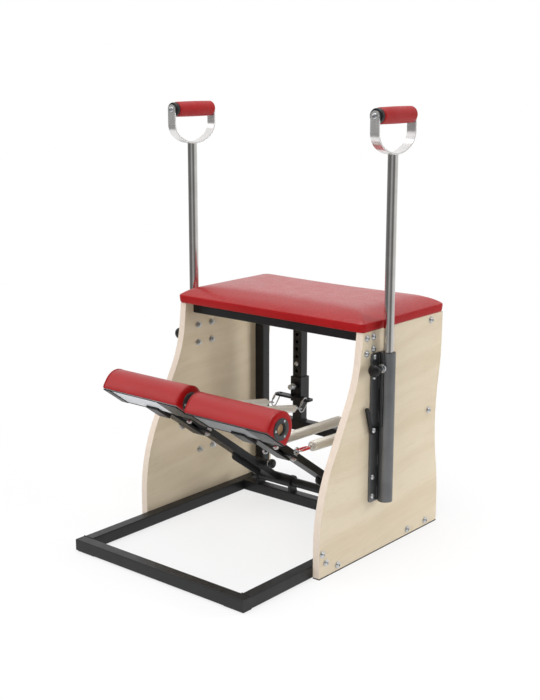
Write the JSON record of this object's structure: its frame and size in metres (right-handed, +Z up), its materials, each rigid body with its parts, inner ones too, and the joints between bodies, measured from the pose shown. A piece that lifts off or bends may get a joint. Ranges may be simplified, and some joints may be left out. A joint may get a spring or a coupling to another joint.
{
  "type": "pilates chair",
  "caption": "Split-pedal exercise chair: padded seat on plywood sides, sprung foot pedals hinged at the rear of a floor frame, and height-adjustable mast handles.",
  "frame": {"origin": "on the floor, under the middle of the overall length and width", "axes": "+Z up, the pedals face -Y, +X to the right of someone looking along +Y at the pedals"},
  "size_m": [0.684, 0.768, 1.1045],
  "materials": {
    "plywood": "clear-lacquered birch plywood",
    "red_vinyl": "satin vinyl upholstery over foam",
    "red_grip": "satin vinyl sleeve",
    "black_rubber": "matt rubber",
    "dowel_wood": "oiled beech",
    "zinc": "zinc plated",
    "black_plastic": "moulded, satin",
    "graphite_steel": "metallic graphite powder coat",
    "polished_steel": "polished stainless",
    "spring_steel": "nickel plated wire",
    "grey_board": "pale grey painted board",
    "black_steel": "black satin powder coat"
  },
  "bodies": {
    "frame": {"column_stops": "zinc", "front_floor_tube": "black_steel", "front_seat_tube": "black_steel", "hinge_cross_tube": "black_steel", "hinge_saddles": "black_steel", "hinge_shaft": "black_steel", "holder_bolts": "zinc", "holder_bushes": "black_plastic", "left_floor_rail": "black_steel", "left_mast_holder": "graphite_steel", "left_rear_post": "black_steel", "left_side_panel": "plywood", "left_spring_column": "black_steel", "lower_rear_tube": "black_steel", "panel_bolts": "zinc", "rear_seat_tube": "black_steel", "right_floor_rail": "black_steel", "right_mast_holder": "graphite_steel", "right_rear_post": "black_steel", "right_side_panel": "plywood", "right_spring_column": "black_steel", "rubber_feet": "black_rubber", "seat_board": "plywood", "seat_pad": "red_vinyl"},
    "left_pedal": {"left_arm": "black_steel", "left_pedal_mount": "black_steel", "left_mount_bolts": "zinc", "left_pedal_board": "grey_board", "left_pedal_pad": "red_vinyl", "left_pedal_rings": "black_plastic", "left_inner_spring": "spring_steel", "left_outer_spring": "spring_steel"},
    "left_mast_handle": {"left_mast": "polished_steel", "left_bow": "polished_steel", "left_grip": "red_grip", "left_grip_fittings": "black_plastic"},
    "left_spring_carriage": {"left_carriage": "black_steel"},
    "left_mast_pull": {"left_mast_knob": "black_plastic"},
    "left_arm_pull": {"left_arm_knob": "black_plastic"},
    "left_carriage_pull": {"left_carriage_knob": "zinc"},
    "left_lever": {"left_clamp_lever": "black_plastic"},
    "right_pedal": {"right_arm": "black_steel", "right_pedal_mount": "black_steel", "right_mount_bolts": "zinc", "right_pedal_board": "grey_board", "right_pedal_pad": "red_vinyl", "right_pedal_rings": "black_plastic", "right_inner_spring": "spring_steel", "right_outer_spring": "spring_steel"},
    "right_mast_handle": {"right_mast": "polished_steel", "right_bow": "polished_steel", "right_grip": "red_grip", "right_grip_fittings": "black_plastic"},
    "right_spring_carriage": {"right_carriage": "black_steel"},
    "right_mast_pull": {"right_mast_knob": "black_plastic"},
    "right_arm_pull": {"right_arm_knob": "black_plastic"},
    "right_carriage_pull": {"right_carriage_knob": "zinc"},
    "right_lever": {"right_clamp_lever": "black_plastic"},
    "dowel": {"joining_dowel": "dowel_wood"}
  },
  "joints": [
    {"name": "left_pedal_hinge", "type": "hinge", "parent": "frame", "child": "left_pedal", "pos_m": [0, 0.243, 0.06], "axis": [1, 0, 0], "range_deg": [0, 32.8], "stiffness_Nm_per_rad": 140, "springref_deg": -14.32, "deforming": ["left_inner_spring", "left_outer_spring"]},
    {"name": "left_mast_slide", "type": "slide", "parent": "frame", "child": "left_mast_handle", "axis": [0, 0, 1], "range_m": [-0.13, 0.24]},
    {"name": "left_carriage_slide", "type": "slide", "parent": "frame", "child": "left_spring_carriage", "axis": [0, 0, 1], "range_m": [-0.008, 0.021], "deforming": ["left_inner_spring", "left_outer_spring"]},
    {"name": "left_mast_knob_pull", "type": "slide", "parent": "frame", "child": "left_mast_pull", "axis": [0, -1, 0], "range_m": [0, 0.008], "stiffness_N_per_m": 500, "springref_m": -0.004},
    {"name": "left_arm_knob_pull", "type": "slide", "parent": "left_pedal", "child": "left_arm_pull", "axis": [1, 0, 0], "range_m": [0, 0.008], "stiffness_N_per_m": 500, "springref_m": -0.004},
    {"name": "left_carriage_knob_pull", "type": "slide", "parent": "left_spring_carriage", "child": "left_carriage_pull", "axis": [0, -1, 0], "range_m": [0, 0.008], "stiffness_N_per_m": 500, "springref_m": -0.004},
    {"name": "left_lever_turn", "type": "hinge", "parent": "frame", "child": "left_lever", "pos_m": [-0.308, 0.066, 0.33], "axis": [1, 0, 0], "range_deg": [0, 75]},
    {"name": "right_pedal_hinge", "type": "hinge", "parent": "frame", "child": "right_pedal", "pos_m": [0, 0.243, 0.06], "axis": [1, 0, 0], "range_deg": [0, 31.8], "stiffness_Nm_per_rad": 140, "springref_deg": -14.32, "deforming": ["right_inner_spring", "right_outer_spring"]},
    {"name": "right_mast_slide", "type": "slide", "parent": "frame", "child": "right_mast_handle", "axis": [0, 0, 1], "range_m": [-0.13, 0.24]},
    {"name": "right_carriage_slide", "type": "slide", "parent": "frame", "child": "right_spring_carriage", "axis": [0, 0, 1], "range_m": [-0.008, 0.021], "deforming": ["right_inner_spring", "right_outer_spring"]},
    {"name": "right_mast_knob_pull", "type": "slide", "parent": "frame", "child": "right_mast_pull", "axis": [0, -1, 0], "range_m": [0, 0.008], "stiffness_N_per_m": 500, "springref_m": -0.004},
    {"name": "right_arm_knob_pull", "type": "slide", "parent": "right_pedal", "child": "right_arm_pull", "axis": [-1, 0, 0], "range_m": [0, 0.008], "stiffness_N_per_m": 500, "springref_m": -0.004},
    {"name": "right_carriage_knob_pull", "type": "slide", "parent": "right_spring_carriage", "child": "right_carriage_pull", "axis": [0, -1, 0], "range_m": [0, 0.008], "stiffness_N_per_m": 500, "springref_m": -0.004},
    {"name": "right_lever_turn", "type": "hinge", "parent": "frame", "child": "right_lever", "pos_m": [0.308, 0.066, 0.33], "axis": [1, 0, 0], "range_deg": [0, 75]},
    {"name": "dowel_slide", "type": "slide", "parent": "right_pedal", "child": "dowel", "axis": [1, 0, 0], "range_m": [0, 0.2]}
  ]
}
